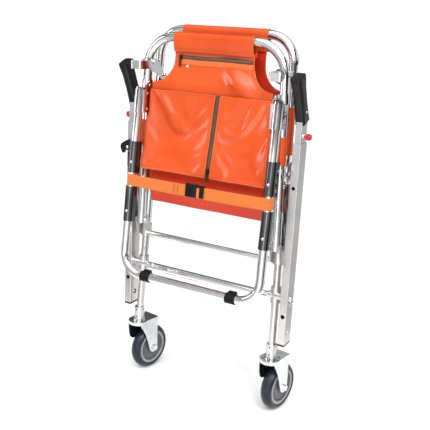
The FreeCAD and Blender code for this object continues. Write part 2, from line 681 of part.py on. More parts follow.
def rail_tube(side):
    """Rectangular tube with two holes in its front face, the pivot hole and the catch stud."""
    tube = hollow_box(rail_middle(side), RAIL_Y, RAIL_WIDE, RAIL_DEEP, RAIL_LOW_Z, RAIL_HIGH_Z, RAIL_WALL)
    front = RAIL_Y - RAIL_DEEP / 2
    for z, radius in RAIL_HOLES:
        tube = tube.cut(Part.makeCylinder(radius, 8, Vec(rail_middle(side), front - 4, z), Y_AXIS))
    tube = tube.cut(rod_x(side * 215, side * 250, RAIL_PIVOT_Y, RAIL_PIVOT_Z, 4.0 + RUNNING))
    tube = tube.cut(rod_x(side * 215, side * 226, RAIL_Y, 236.0, 7.0))
    stud = rod_x(side * (RAIL_IN_X - 6.5), side * (RAIL_IN_X + 1), RAIL_Y - 8, CATCH_Z, 3.0)
    return fused(tube, stud, latch_pin()) if side == LATCH_SIDE else fused(tube, stud)


def rail_end_cap(side):
    middle = rail_middle(side)
    lid = box(middle - RAIL_WIDE / 2, middle + RAIL_WIDE / 2, RAIL_Y - RAIL_DEEP / 2, RAIL_Y + RAIL_DEEP / 2,
              RAIL_LOW_Z - CAP_THICK, RAIL_LOW_Z)
    edges = [e for e in lid.Edges if e.BoundBox.ZLength > CAP_THICK - 0.1]
    less = RAIL_WALL + 0.05
    plug = box(middle - RAIL_WIDE / 2 + less, middle + RAIL_WIDE / 2 - less,
               RAIL_Y - RAIL_DEEP / 2 + less, RAIL_Y + RAIL_DEEP / 2 - less, RAIL_LOW_Z - 1, RAIL_LOW_Z + 14)
    return fused(lid.makeFillet(1.4, edges), plug)


def handle_tube(side):
    """Inner tube of the rail, with the hole of the lock button."""
    less = RAIL_WALL + HANDLE_FIT
    tube = hollow_box(rail_middle(side), RAIL_Y, RAIL_WIDE - 2 * less, RAIL_DEEP - 2 * less,
                      HANDLE_LOW_Z, HANDLE_HIGH_Z, 1.6)
    lock_z, lock_r = RAIL_HOLES[1]
    front = RAIL_Y - RAIL_DEEP / 2
    lock_hole = Part.makeCylinder(lock_r, 12, Vec(rail_middle(side), front - 4, lock_z), Y_AXIS)
    return tube.cut(lock_hole).cut(rod_x(rail_middle(side), side * 250, RAIL_Y, BUTTON_Z, 3.0 + RUNNING))


def handle_core(side):
    """Plug in the handle tube's end with the leaning tang that the grip is moulded on."""
    less = RAIL_WALL + HANDLE_FIT + 1.0
    middle = rail_middle(side)
    half_wide = RAIL_WIDE / 2 - less
    half_deep = RAIL_DEEP / 2 - less
    plug = box(middle - half_wide, middle + half_wide, RAIL_Y - half_deep, RAIL_Y + half_deep,
               HANDLE_HIGH_Z - 18, HANDLE_HIGH_Z)
    tang = box(middle - 4, middle + 4, RAIL_Y - 9, RAIL_Y + 9, HANDLE_HIGH_Z - 8, HANDLE_HIGH_Z + 90)
    tang = tang.rotate(Vec(0, RAIL_Y, HANDLE_HIGH_Z - 4), X_AXIS, GRIP_LEAN)
    return fused(plug, tang)


def grip(side, core, tube):
    """Moulded grip, slightly fuller at the top, with a flared rim."""
    middle = rail_middle(side)
    sections = [(-6, 24, 36, 5), (8, 25, 34, 8), (40, 26, 32, 10), (80, 27, 34, 11), (98, 28, 38, 10),
                (108, 27, 38, 8)]
    wires = []
    for z, wide, deep, corner in sections:
        block = box(middle - wide / 2, middle + wide / 2, RAIL_Y - deep / 2, RAIL_Y + deep / 2, z, z + 1)
        edges = [e for e in block.Edges if e.BoundBox.ZLength > 0.9]
        wires.append(min(block.makeFillet(corner, edges).Faces, key=lambda f: f.CenterOfMass.z).OuterWire)
    body = Part.makeLoft(wires, True, True)
    body.translate(Vec(0, 0, HANDLE_HIGH_Z - 4))
    body = body.rotate(Vec(0, RAIL_Y, HANDLE_HIGH_Z - 4), X_AXIS, GRIP_LEAN)
    return body.cut(core).cut(tube)


def lock_button(side):
    """Push knob that frees the handle, on a stem through the tube's wall."""
    surface = RAIL_IN_X + RAIL_WIDE - RAIL_WALL - HANDLE_FIT
    stem = rod_x(side * (surface - 6), side * (surface + 8), RAIL_Y, BUTTON_Z, 3.0)
    foot = rod_x(side * (surface - 6), side * (surface - 3), RAIL_Y, BUTTON_Z, 4.5)
    knob = rod_x(side * (surface + 7.2), side * (surface + 18.2), RAIL_Y, BUTTON_Z, 7.5)
    rim = [edge for edge in knob.Edges if abs(edge.CenterOfMass.x) > surface + 18]
    return fused(stem, foot, knob.makeFillet(4.0, rim))


def button_collar(side):
    surface = RAIL_IN_X + RAIL_WIDE - RAIL_WALL - HANDLE_FIT
    start = Vec(side * surface, RAIL_Y, BUTTON_Z)
    end = Vec(side * (surface + 2.8), RAIL_Y, BUTTON_Z)
    return ring(start, end, 7.5, 3.0 + RUNNING)


def latch_lever():
    """Black finger latch on the left rail's front edge."""
    front = RAIL_Y - RAIL_DEEP / 2 - 0.4
    body = prism_y([(-226, 663), (-230, 666), (-241, 662), (-256, 652), (-257.8, 644), (-256, 637),
                    (-252, 630), (-248.5, 627), (-246, 635), (-241, 638), (-232, 636), (-226, 641)],
                   front - 9, front)
    edges = [e for e in body.Edges if e.BoundBox.YLength > 8.9 and e.CenterOfMass.x < -247]
    hole = Part.makeCylinder(2.5 + RUNNING, 20, Vec(LATCH_X, front - 12, LATCH_Z), Y_AXIS)
    return body.makeFillet(1.5, edges).cut(hole)


# ---- casters ----
def toed(shape, side):
    """Swivel a caster's part, built straight, to the angle at which the caster stands."""
    return shape.rotate(Vec(side * CASTER_X, 0, 0), Z_AXIS, CASTER_TOE)


FORK_IN = 18.5                # half the fork's inner width
FORK_OUT = 21.5
PLATE_LOW = 153.0
PLATE_HIGH = 157.0
RACE_HIGH = 160.7
NOSE_Y = -4.0                 # middle of the plate's round nose
NOSE_R = 27.0
CHEEK_FOOT = [(24, 62), (29, 54), (37, 50), (46, 50), (52, 56), (54, 70), (52.5, PLATE_LOW + 1)]
CHEEK_RIGHT = [(-20, PLATE_LOW + 1), (-15, 147), (-4, 129), (5, 113), (12, 98), (18, 80)]
CHEEK_LEFT = [(-22, PLATE_LOW + 1), (-22.5, 135), (-21, 119), (-17, 104), (-8, 96), (6, 92), (16, 78)]


def caster_fork(side):
    """Pressed fork: round-nosed plate with a rolled lip, race, stem, and a deeper cheek on the left."""
    x = side * CASTER_X
    plate = fused(rod(Vec(x, NOSE_Y, PLATE_LOW), Vec(x, NOSE_Y, PLATE_HIGH), NOSE_R),
                  box(x - 25, x + 25, NOSE_Y, 52.5, PLATE_LOW, PLATE_HIGH))
    lip = ring(Vec(x, NOSE_Y, PLATE_LOW - 5), Vec(x, NOSE_Y, PLATE_LOW + 1), NOSE_R - 0.5, NOSE_R - 3.5)
    lip = lip.cut(box(x - 30, x + 30, -6, 40, 140, 170))
    cheeks = [prism_x(CHEEK_LEFT + CHEEK_FOOT, x - FORK_OUT, x - FORK_IN),
              prism_x(CHEEK_RIGHT + CHEEK_FOOT, x + FORK_IN, x + FORK_OUT)]
    race = rod(Vec(x, 0, PLATE_HIGH), Vec(x, 0, RACE_HIGH), 17.0)
    stem = rod(Vec(x, 0, PLATE_HIGH), Vec(x, 0, 177.0), 6.0)
    fork = fused(plate, lip, *cheeks, race, stem)
    return toed(fork.cut(rod_x(x - 30, x + 30, CASTER_TRAIL, TYRE_RADIUS, 4.0)), side)


def axle_bolt(side):
    x = side * CASTER_X
    shank = rod_x(x - FORK_OUT, x + FORK_OUT, CASTER_TRAIL, TYRE_RADIUS, 4.0)
    head = hexagon_x(x + FORK_OUT, x + FORK_OUT + 5.5, CASTER_TRAIL, TYRE_RADIUS, 14.0)
    nut = hexagon_x(x - FORK_OUT - 7, x - FORK_OUT, CASTER_TRAIL, TYRE_RADIUS, 14.0)
    return toed(fused(shank, head, nut), side)


RIM_R = 45.0


def revolved_x(profile, x):
    """Turn an (r, dx) outline about the wheel's axle."""
    points = [Vec(x + dx, CASTER_TRAIL, TYRE_RADIUS + r) for r, dx in profile]
    face = Part.Face(Part.makePolygon(points + points[:1]))
    return face.revolve(Vec(x, CASTER_TRAIL, TYRE_RADIUS), X_AXIS, 360)


def tyre(side):
    """Solid tyre with a round tread."""
    half = TYRE_WIDTH / 2
    crown = []
    for i in range(-4, 5):
        turn = math.radians(90 * i / 4)
        crown.append((TYRE_RADIUS - 9 + 9 * math.cos(turn), (half - 7) * i / 4 + 7 * math.sin(turn)))
    profile = [(RIM_R, -half + 2)] + crown + [(RIM_R, half - 2)]
    return toed(revolved_x(profile, side * CASTER_X), side)


def wheel_hub(side):
    """Rim, web and boss in one, running on the axle bolt."""
    profile = [(4.0 + RUNNING, -17.6), (11, -17.6), (12, -11), (37, -11), (39, -13.5), (RIM_R, -13.5),
               (RIM_R, 13.5), (39, 13.5), (37, 11), (12, 11), (11, 17.6), (4.0 + RUNNING, 17.6)]
    return toed(revolved_x(profile, side * CASTER_X), side)


# ---- the whole chair ----
def sided(name, make):
    return {f"{name}_{word}": make(side) for word, side in SIDES.items()}


def chair():
    nodes = {"back_frame_tube": back_frame_tube(), "back_sheet": back_sheet()}
    nodes["back_wrap"] = wrap(BACK_TOP_Y, BACK_TOP_Z, 116.0, 908.0)
    nodes |= sided("caster_leg", caster_leg)
    nodes |= sided("leg_collar", leg_collar)
    nodes |= sided("seat_pivot_bracket", pivot_bracket)
    brackets = [nodes["seat_pivot_bracket_left"], nodes["seat_pivot_bracket_right"]]
    nodes["upper_crossbar"] = upper_crossbar(brackets)
    nodes["lower_crossbar"] = lower_crossbar([nodes["leg_collar_left"], nodes["leg_collar_right"]])
    nodes["seat_pivot_pins"] = group([seat_pivot_pin(side) for side in SIDES.values()])
    nodes["rail_pivot_pins"] = group([rail_pivot_pin(side) for side in SIDES.values()])
    nodes["frame_bolts"] = group([make(side) for make in (lock_stud, stay_bolt) for side in SIDES.values()])
    nodes |= sided("rail_catch", rail_catch)

    nodes["seat_frame_tube"] = seat_frame_tube()
    nodes["seat_sheet"] = seat_sheet()
    nodes["seat_wrap"] = wrap(SEAT_Y, SEAT_TOP_Z, 108.0, 893.0)
    nodes["seat_pocket"] = seat_pocket()
    nodes["seat_bolts"] = group([part for side in SIDES.values() for part in hook_bolt(side)]
                                + [stay_stud(side) for side in SIDES.values()])
    nodes["leg_hinge_ears"] = group([hinge_ear(side) for side in SIDES.values()])
    nodes["seat_zip_slider"] = zip_slider(Vec(-90, SEAT_Y - 2, 884), 20.0)
    nodes["pocket_zip_slider"] = zip_slider(Vec(20.5, -51.0, 622), 24.0)
    nodes |= sided("fold_hook", fold_hook)
    nodes |= sided("seat_stay", seat_stay)

    nodes["front_leg_tube"] = front_leg_tube()
    nodes |= sided("leg_sleeve", leg_sleeve)
    rivets = []
    for word, side in SIDES.items():
        rivets += sleeve_rivets(side) + [hinge_pin(side)]
        for level, (low_z, high_z) in CHANNELS.items():
            nodes[f"{level}_channel_{word}"] = leg_channel(side, low_z, high_z)
            rivets += channel_rivets(side, low_z, high_z)
    nodes["leg_rivets"] = group(rivets)
    nodes |= sided("foot_pad", foot_pad)
    nodes["leg_strap"] = leg_strap()
    nodes["buckle_housing"] = buckle_housing()
    nodes["buckle_insert"] = buckle_insert()

    nodes |= sided("rail_tube", rail_tube)
    nodes |= sided("rail_end_cap", rail_end_cap)
    nodes["latch_lever"] = latch_lever()
    for word, side in SIDES.items():
        core = handle_core(side)
        tube = handle_tube(side)
        nodes[f"handle_tube_{word}"] = fused(tube, core, button_collar(side))
        nodes[f"grip_{word}"] = grip(side, core, tube)
        nodes[f"lock_button_{word}"] = lock_button(side)
    nodes |= sided("caster_fork", caster_fork)
    nodes |= sided("axle_bolt", axle_bolt)
    nodes |= sided("tyre", tyre)
    nodes |= sided("wheel_hub", wheel_hub)
    return nodes


if __name__ == "__main__":
    os.makedirs("parts", exist_ok=True)
    for node, shape in chair().items():
        shape.exportStep(f"parts/{node}.step")
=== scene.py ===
import json
import math

import bmesh
import bpy
from mathutils import Matrix, Vector, noise


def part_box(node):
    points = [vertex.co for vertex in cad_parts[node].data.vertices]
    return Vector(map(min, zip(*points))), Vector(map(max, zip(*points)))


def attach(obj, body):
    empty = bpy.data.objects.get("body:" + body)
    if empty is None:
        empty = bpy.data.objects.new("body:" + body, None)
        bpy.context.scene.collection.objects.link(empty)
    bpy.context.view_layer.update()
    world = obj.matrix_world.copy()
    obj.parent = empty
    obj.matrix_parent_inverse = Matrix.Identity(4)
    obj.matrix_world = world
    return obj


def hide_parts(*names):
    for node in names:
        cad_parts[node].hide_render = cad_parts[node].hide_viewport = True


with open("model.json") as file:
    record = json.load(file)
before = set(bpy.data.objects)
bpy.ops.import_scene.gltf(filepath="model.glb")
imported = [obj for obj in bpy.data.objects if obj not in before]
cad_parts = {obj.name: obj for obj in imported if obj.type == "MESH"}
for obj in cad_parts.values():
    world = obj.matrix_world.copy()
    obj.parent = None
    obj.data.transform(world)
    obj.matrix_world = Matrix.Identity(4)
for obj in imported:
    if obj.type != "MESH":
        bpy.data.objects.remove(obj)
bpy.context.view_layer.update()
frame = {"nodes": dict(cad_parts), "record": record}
NODES = frame["nodes"]
SIDES = {"left": -1, "right": 1}

# ---- driving dimensions, in metres ----
SEAT_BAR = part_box("seat_frame_tube")
BACK_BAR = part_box("back_frame_tube")
SEAT_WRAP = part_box("seat_wrap")
BACK_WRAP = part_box("back_wrap")
SEAT_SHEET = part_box("seat_sheet")
BACK_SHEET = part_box("back_sheet")
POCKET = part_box("seat_pocket")
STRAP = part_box("leg_strap")
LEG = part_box("front_leg_tube")
TUBE_R = 0.011                 # all three folding frames
VINYL = 0.0012                 # thickness of the coated fabric
WEBBING = 0.0016               # thickness of the strap
SEAT_COVER_WIDE = 0.331
BACK_COVER_WIDE = 0.337
LEG_HIGH = 0.476               # height over which the front leg leans and closes in
LEG_LEAN = 0.0498              # how far it leans back over that height
LEG_CLOSE = 0.0072             # how far each side closes in over that height
FRAME_FOOT_Z = 0.160           # foot of the back frame's uprights
RAIL_X = 0.232
RAIL_Y = 0.0015
TRAIL = 0.042                  # wheel axle behind the caster's stem
CLOTH_FRAMES = 20
FLOOR_R = 0.62                 # small, so that upright tubes mirror the surround below it


def mid(box, axis):
    return (box[0][axis] + box[1][axis]) / 2


# ---- camera ----
EYE = (0.8133, -1.4858, 0.9677)
AZIMUTH = math.radians(28.1)
PITCH = math.radians(15.5)
ROLL = math.radians(3.08)
SENSOR = 36
LENS = 57.8


def camera():
    """Looks at the chair from its front right, a little from above, rolled a few degrees."""
    level = math.cos(PITCH)
    ahead = Vector((-math.sin(AZIMUTH) * level, math.cos(AZIMUTH) * level, -math.sin(PITCH)))
    right = Vector((math.cos(AZIMUTH), math.sin(AZIMUTH), 0))
    up = right.cross(ahead)
    x_axis = right * math.cos(ROLL) + up * math.sin(ROLL)
    y_axis = up * math.cos(ROLL) - right * math.sin(ROLL)
    facing = Matrix((x_axis, y_axis, -ahead)).transposed().to_4x4()
    data = bpy.data.cameras.new("camera")
    data.sensor_width = SENSOR
    data.lens = LENS
    data.clip_end = 100
    eye = bpy.data.objects.new("camera", data)
    eye.matrix_world = Matrix.Translation(EYE) @ facing
    bpy.context.scene.collection.objects.link(eye)
    bpy.context.scene.camera = eye


# ---- lights, floor and world ----
# Brightness of the surround. AROUND goes by the share of a turn from -Y by way of -X, UPWARD by height
# from straight down to straight up. The two are multiplied, so the tubes mirror bands and dark flags.
AROUND = [(0.0, 1.4), (0.03, 1.05), (0.072, 1.0), (0.10, 0.6), (0.165, 0.5), (0.178, 0.04), (0.215, 0.04),
          (0.228, 0.9), (0.315, 1.0), (0.33, 0.12), (0.41, 0.12), (0.43, 0.7), (0.53, 0.75), (0.545, 0.62),
          (0.59, 0.66), (0.605, 0.9), (0.70, 0.95), (0.715, 0.05), (0.785, 0.06), (0.80, 0.5), (0.85, 0.6),
          (0.88, 1.0), (0.93, 1.1), (0.95, 4.0), (0.98, 4.0), (1.0, 1.4)]
UPWARD = [(0.0, 0.9), (0.50, 0.9), (0.525, 0.12), (0.57, 0.10), (0.60, 0.95), (0.70, 1.0), (0.74, 0.45),
          (0.80, 0.40), (0.84, 1.0), (0.96, 1.0), (0.985, 0.1), (1.0, 0.1)]


def area_light(name, place, aim, size, watts):
    data = bpy.data.lights.new(name, "AREA")
    data.shape = "RECTANGLE"
    data.size, data.size_y = size
    data.energy = watts
    lamp = bpy.data.objects.new(name, data)
    lamp.location = place
    lamp.rotation_euler = (Vector(aim) - Vector(place)).to_track_quat("-Z", "Y").to_euler()
    bpy.context.scene.collection.objects.link(lamp)


def studio():
    """White studio: a high sun-like softbox, side lamps, and a surround with dark flags for the tubes."""
    aim = (0, 0, 0.55)
    area_light("key_light", (1.7, -1.5, 2.3), aim, (0.7, 0.9), 34)
    area_light("side_light", (-2.4, -1.4, 1.3), aim, (0.5, 2.0), 16)
    high = bpy.data.lights.new("high_light", "SUN")
    high.energy = 2.2
    high.angle = math.radians(70)
    lamp = bpy.data.objects.new("high_light", high)
    lamp.rotation_euler = (math.radians(22), math.radians(12), 0)
    bpy.context.scene.collection.objects.link(lamp)
    scene = bpy.context.scene
    scene.view_settings.view_transform = "Standard"
    world = bpy.data.worlds.new("studio")
    scene.world = world
    world.use_nodes = True
    tree = world.node_tree
    tree.nodes.clear()

    def add(kind, **inputs):
        node = tree.nodes.new(kind)
        for key, value in inputs.items():
            node.inputs[key].default_value = value
        return node

    def maths(kind, first, second=None, value=None):
        node = tree.nodes.new("ShaderNodeMath")
        node.operation = kind
        tree.links.new(first, node.inputs[0])
        if second is not None:
            tree.links.new(second, node.inputs[1])
        elif value is not None:
            node.inputs[1].default_value = value
        return node.outputs[0]

    def stops(value, table):
        node = tree.nodes.new("ShaderNodeValToRGB")
        ramp = node.color_ramp
        for place, grey in table:
            stop = ramp.elements.new(place)
            stop.color = (grey, grey, grey, 1)
        ramp.elements.remove(ramp.elements[0])
        ramp.elements.remove(ramp.elements[len(ramp.elements) - 1])
        tree.links.new(value, node.inputs[0])
        return node.outputs[0]

    coord = add("ShaderNodeTexCoord")
    split = add("ShaderNodeSeparateXYZ")
    tree.links.new(coord.outputs["Generated"], split.inputs[0])
    angle = maths("ARCTAN2", split.outputs["X"], split.outputs["Y"])
    turn = maths("MULTIPLY_ADD", angle, value=0.5 / math.pi)
    turn.node.inputs[2].default_value = 0.5
    level = maths("MULTIPLY_ADD", split.outputs["Z"], value=0.5)
    level.node.inputs[2].default_value = 0.5
    round_about = stops(turn, AROUND)
    up_down = stops(level, UPWARD)
    mixed = maths("MULTIPLY", round_about, up_down)
    seen = add("ShaderNodeBackground", Color=(1, 1, 1, 1), Strength=1.1)
    lit = add("ShaderNodeBackground", Strength=1.0)
    tree.links.new(mixed, lit.inputs["Color"])
    path = add("ShaderNodeLightPath")
    mix = add("ShaderNodeMixShader")
    out = add("ShaderNodeOutputWorld")
    tree.links.new(path.outputs["Is Camera Ray"], mix.inputs[0])
    tree.links.new(lit.outputs[0], mix.inputs[1])
    tree.links.new(seen.outputs[0], mix.inputs[2])
    tree.links.new(mix.outputs[0], out.inputs[0])


def floor():
    """Plain white paper under the chair."""
    bm = bmesh.new()
    bmesh.ops.create_circle(bm, cap_ends=True, segments=96, radius=FLOOR_R)
    mesh = bpy.data.meshes.new("floor")
    bm.to_mesh(mesh)
    bm.free()
    ground = bpy.data.objects.new("floor", mesh)
    bpy.context.scene.collection.objects.link(ground)
    mat, shader = new_material("floor_paper")[:2]
    shader.inputs["Base Color"].default_value = (0.93, 0.93, 0.93, 1)
    shader.inputs["Roughness"].default_value = 0.9
    mesh.materials.append(mat)


# ---- materials ----
def new_material(name):
    mat = bpy.data.materials.new(name)
    mat.use_nodes = True
    tree = mat.node_tree
    return mat, tree.nodes["Principled BSDF"], tree


def object_coords(tree, stretch=(1, 1, 1)):
    coord = tree.nodes.new("ShaderNodeTexCoord")
    mapping = tree.nodes.new("ShaderNodeMapping")
    mapping.inputs["Scale"].default_value = stretch
    tree.links.new(coord.outputs["Object"], mapping.inputs["Vector"])
    return mapping.outputs["Vector"]


def noise_tex(tree, vector, scale, detail, rough=0.5):
    tex = tree.nodes.new("ShaderNodeTexNoise")
    tex.inputs["Scale"].default_value = scale
    tex.inputs["Detail"].default_value = detail
    tex.inputs["Roughness"].default_value = rough
    tree.links.new(vector, tex.inputs["Vector"])
    return tex.outputs["Fac"]


NOISE_LOW = 0.3                # most of a noise texture lies between these two
NOISE_HIGH = 0.7


def spread(tree, value, low, high):
    """Maps a noise value to the range from low to high."""
    node = tree.nodes.new("ShaderNodeMapRange")
    node.inputs["From Min"].default_value = NOISE_LOW
    node.inputs["From Max"].default_value = NOISE_HIGH
    node.inputs["To Min"].default_value = low
    node.inputs["To Max"].default_value = high
    tree.links.new(value, node.inputs["Value"])
    return node.outputs[0]


def two_colours(tree, value, first, second):
    ramp = tree.nodes.new("ShaderNodeValToRGB")
    ramp.color_ramp.elements[0].color = (*first, 1)
    ramp.color_ramp.elements[1].color = (*second, 1)
    ramp.color_ramp.elements[0].position = NOISE_LOW
    ramp.color_ramp.elements[1].position = NOISE_HIGH
    tree.links.new(value, ramp.inputs[0])
    return ramp.outputs[0]


def bump(tree, shader, height, distance, strength, after=None):
    node = tree.nodes.new("ShaderNodeBump")
    node.inputs["Distance"].default_value = distance
    node.inputs["Strength"].default_value = strength
    tree.links.new(height, node.inputs["Height"])
    if after is not None:
        tree.links.new(after, node.inputs["Normal"])
    tree.links.new(node.outputs[0], shader.inputs["Normal"])
    return node.outputs[0]


def metal(name, dark, pale, rough, brushed=(60, 60, 4), wear=0.00004, patch=14.0):
    """Bare metal: brushing along Z, cloudy tone and slightly uneven gloss."""
    mat, shader, tree = new_material(name)
    shader.inputs["Metallic"].default_value = 1.0
    lines = noise_tex(tree, object_coords(tree, brushed), 18.0, 4.0, 0.6)
    clouds = noise_tex(tree, object_coords(tree), patch, 3.0)
    tree.links.new(two_colours(tree, clouds, dark, pale), shader.inputs["Base Color"])
    blend = tree.nodes.new("ShaderNodeMath")
    blend.operation = "ADD"
    tree.links.new(spread(tree, lines, rough * 0.6, rough), blend.inputs[0])
    tree.links.new(spread(tree, clouds, 0.0, rough * 0.4), blend.inputs[1])
    tree.links.new(blend.outputs[0], shader.inputs["Roughness"])
    bump(tree, shader, lines, wear, 0.6)
    return mat


def moulded(name, dark, pale, rough, grain=900.0, depth=0.00006, shine=0.3):
    """Moulded plastic or rubber: a fine pebbled skin with dusty patches."""
    mat, shader, tree = new_material(name)
    shader.inputs["Specular IOR Level"].default_value = shine
    coords = object_coords(tree)
    clouds = noise_tex(tree, coords, 22.0, 4.0)
    pebbles = noise_tex(tree, coords, grain, 2.0)
    tree.links.new(two_colours(tree, clouds, dark, pale), shader.inputs["Base Color"])
    tree.links.new(spread(tree, clouds, rough * 0.85, min(1.0, rough * 1.15)), shader.inputs["Roughness"])
    bump(tree, shader, pebbles, depth, 0.7)
    return mat


def vinyl(name, dark, pale, rough):
    """Coated fabric: calendered grain, slack ripples and a soft sheen."""
    mat, shader, tree = new_material(name)
    coords = object_coords(tree)
    clouds = noise_tex(tree, coords, 7.0, 4.0, 0.55)
    tree.links.new(two_colours(tree, clouds, dark, pale), shader.inputs["Base Color"])
    tree.links.new(spread(tree, clouds, rough * 0.85, rough * 1.2), shader.inputs["Roughness"])
    shader.inputs["Specular IOR Level"].default_value = 0.45
    shader.inputs["Coat Weight"].default_value = 0.3
    shader.inputs["Coat Roughness"].default_value = 0.14
    ripples = noise_tex(tree, coords, 30.0, 2.0)
    first = bump(tree, shader, ripples, 0.0006, 0.35)
    cells = tree.nodes.new("ShaderNodeTexVoronoi")
    cells.inputs["Scale"].default_value = 750.0
    tree.links.new(coords, cells.inputs["Vector"])
    bump(tree, shader, cells.outputs["Distance"], 0.00008, 0.6, first)
    return mat


def webbing(name, dark, pale):
    """Woven strap: ribs across, yarns along, matt with a soft sheen."""
    mat, shader, tree = new_material(name)
    coords = object_coords(tree)

    def threads(direction, scale):
        tex = tree.nodes.new("ShaderNodeTexWave")
        tex.bands_direction = direction
        tex.inputs["Scale"].default_value = scale
        tex.inputs["Distortion"].default_value = 1.2
        tex.inputs["Detail"].default_value = 1.0
        tree.links.new(coords, tex.inputs["Vector"])
        return tex.outputs["Fac"]

    cross = tree.nodes.new("ShaderNodeMath")
    cross.operation = "MULTIPLY"
    tree.links.new(threads("X", 190.0), cross.inputs[0])
    tree.links.new(threads("Z", 120.0), cross.inputs[1])
    tree.links.new(two_colours(tree, cross.outputs[0], dark, pale), shader.inputs["Base Color"])
    shader.inputs["Roughness"].default_value = 0.75
    shader.inputs["Sheen Weight"].default_value = 0.3
    bump(tree, shader, cross.outputs[0], 0.0003, 0.8)
    return mat


# Each look is a dark and a pale tone, then what else its material's function takes.
METALS = {
    "chrome_tube": ((0.80, 0.80, 0.81), (0.90, 0.90, 0.90), 0.07, (40, 40, 3), 0.00002),
    "satin_aluminium": ((0.62, 0.60, 0.60), (0.72, 0.70, 0.70), 0.30, (50, 50, 2), 0.00002),
    "bright_steel": ((0.66, 0.66, 0.67), (0.84, 0.84, 0.85), 0.14),
    # dark_steel's near-black base is painted dark reflection. The polished channels mirror dark
    # surroundings, so their base colour is darkened to stand in for that.
    "dark_steel": ((0.09, 0.09, 0.093), (0.15, 0.15, 0.155), 0.09, (60, 60, 4), 0.00002),
    "zinc_steel": ((0.62, 0.63, 0.65), (0.78, 0.79, 0.80), 0.16, (30, 30, 20), 0.00004, 60.0),
    "brass": ((0.06, 0.035, 0.02), (0.16, 0.10, 0.05), 0.3),
    "zip_brass": ((0.34, 0.22, 0.10), (0.52, 0.36, 0.17), 0.3),
}
MOULDINGS = {
    "black_rubber": ((0.004, 0.004, 0.004), (0.009, 0.009, 0.009), 0.5, 900.0, 0.00006, 0.12),
    "black_plastic": ((0.004, 0.004, 0.005), (0.010, 0.010, 0.011), 0.24, 500.0, 0.00006, 0.25),
    "grip_rubber": ((0.004, 0.004, 0.004), (0.012, 0.012, 0.013), 0.34, 420.0, 0.00022),
    "red_plastic": ((0.42, 0.004, 0.012), (0.56, 0.008, 0.022), 0.22, 300.0, 0.00006, 0.5),
    "tyre_rubber": ((0.009, 0.011, 0.022), (0.018, 0.022, 0.038), 0.30, 300.0),
    "grey_plastic": ((0.075, 0.074, 0.082), (0.12, 0.12, 0.13), 0.36, 500.0),
    "rim_grey": ((0.24, 0.24, 0.26), (0.33, 0.33, 0.35), 0.35, 500.0),
}
VINYLS = {
    "orange_vinyl": ((0.54, 0.054, 0.003), (0.63, 0.076, 0.005), 0.25),
    # The second vinyl is a darker, redder copy of orange_vinyl. It is painted shade for the lower seat
    # cover, the back cover and the low back sleeves, which are the same cloth where it lies in shadow.
    "shaded_vinyl": ((0.54, 0.030, 0.008), (0.64, 0.048, 0.014), 0.25),
    "orange_piping": ((0.62, 0.10, 0.015), (0.72, 0.14, 0.03), 0.4),
}
WEAVES = {
    "orange_webbing": ((0.52, 0.11, 0.006), (0.76, 0.21, 0.016)),
    "zip_tape": ((0.035, 0.018, 0.010), (0.09, 0.048, 0.025)),
    "thread": ((0.60, 0.07, 0.01), (0.85, 0.20, 0.05)),
}
MATERIALS = {}


def make_materials():
    for make, looks in ((metal, METALS), (moulded, MOULDINGS), (vinyl, VINYLS), (webbing, WEAVES)):
        for name, look in looks.items():
            MATERIALS[name] = make(name, *look)


def dress_cad():
    """Every CAD node takes the material of its slot."""
    slots = {part["node"]: part["material_slot"] for part in frame["record"]["subparts"]}
    for name, node in NODES.items():
        mat = MATERIALS.get(slots.get(name), MATERIALS["bright_steel"])
        if not node.data.materials:
            node.data.materials.append(mat)
        for i in range(len(node.data.materials)):
            node.data.materials[i] = mat


# ---- mesh helpers ----
def link_mesh(name, bm, material, smooth=True):
    mesh = bpy.data.meshes.new(name)
    bm.normal_update()
    bm.to_mesh(mesh)
    bm.free()
    mesh.materials.append(MATERIALS[material])
    for face in mesh.polygons:
        face.use_smooth = smooth
    obj = bpy.data.objects.new(name, mesh)
    bpy.context.scene.collection.objects.link(obj)
    return obj


def grid(name, place, across, along, material):
    """A sheet whose points are place(u, v), with u and v from 0 to 1."""
    bm = bmesh.new()
    rows = []
    for j in range(along + 1):
        rows.append([bm.verts.new(place(i / across, j / along)) for i in range(across + 1)])
    for low, high in zip(rows, rows[1:]):
        for i in range(across):
            bm.faces.new((low[i], low[i + 1], high[i + 1], high[i]))
    return link_mesh(name, bm, material)


def run_length(points):
    """Length of a line of points, along a sheet's surface."""
    return sum((b - a).length for a, b in zip(points, points[1:]))


def modify(obj, kind, **settings):
    mod = obj.modifiers.new(kind.lower(), kind)
    for key, value in settings.items():
        setattr(mod, key, value)
    return mod


def thicken(obj, depth, levels=1):
    modify(obj, "SOLIDIFY", thickness=depth, offset=0.0)
    if levels:
        modify(obj, "SUBSURF", levels=levels, render_levels=levels)


def apply_modifiers(obj):
    graph = bpy.context.evaluated_depsgraph_get()
    mesh = bpy.data.meshes.new_from_object(obj.evaluated_get(graph))
    obj.modifiers.clear()
    old = obj.data
    obj.data = mesh
    bpy.data.meshes.remove(old)


def add_cord(bm, points, radius, sides):
    """Adds a round cord along a list of points."""
    rings = []
    last = len(points) - 1
    for i, point in enumerate(points):
        before = points[max(i - 1, 0)]
        after = points[min(i + 1, last)]
        along = (after - before).normalized()
        side = along.cross(Vector((0.13, 0.91, 0.24))).normalized()
        up = along.cross(side)
        ring = []
        for k in range(sides):
            turn = 2 * math.pi * k / sides
            ring.append(bm.verts.new(point + (side * math.cos(turn) + up * math.sin(turn)) * radius))
        rings.append(ring)
    for low, high in zip(rings, rings[1:]):
        for k in range(sides):
            n = (k + 1) % sides
            bm.faces.new((low[k], low[n], high[n], high[k]))
    bm.faces.new(list(reversed(rings[0])))
    bm.faces.new(rings[-1])


def cords(name, runs, radius, material, sides=8):
    bm = bmesh.new()
    for run in runs:
        add_cord(bm, run, radius, sides)
    return link_mesh(name, bm, material)


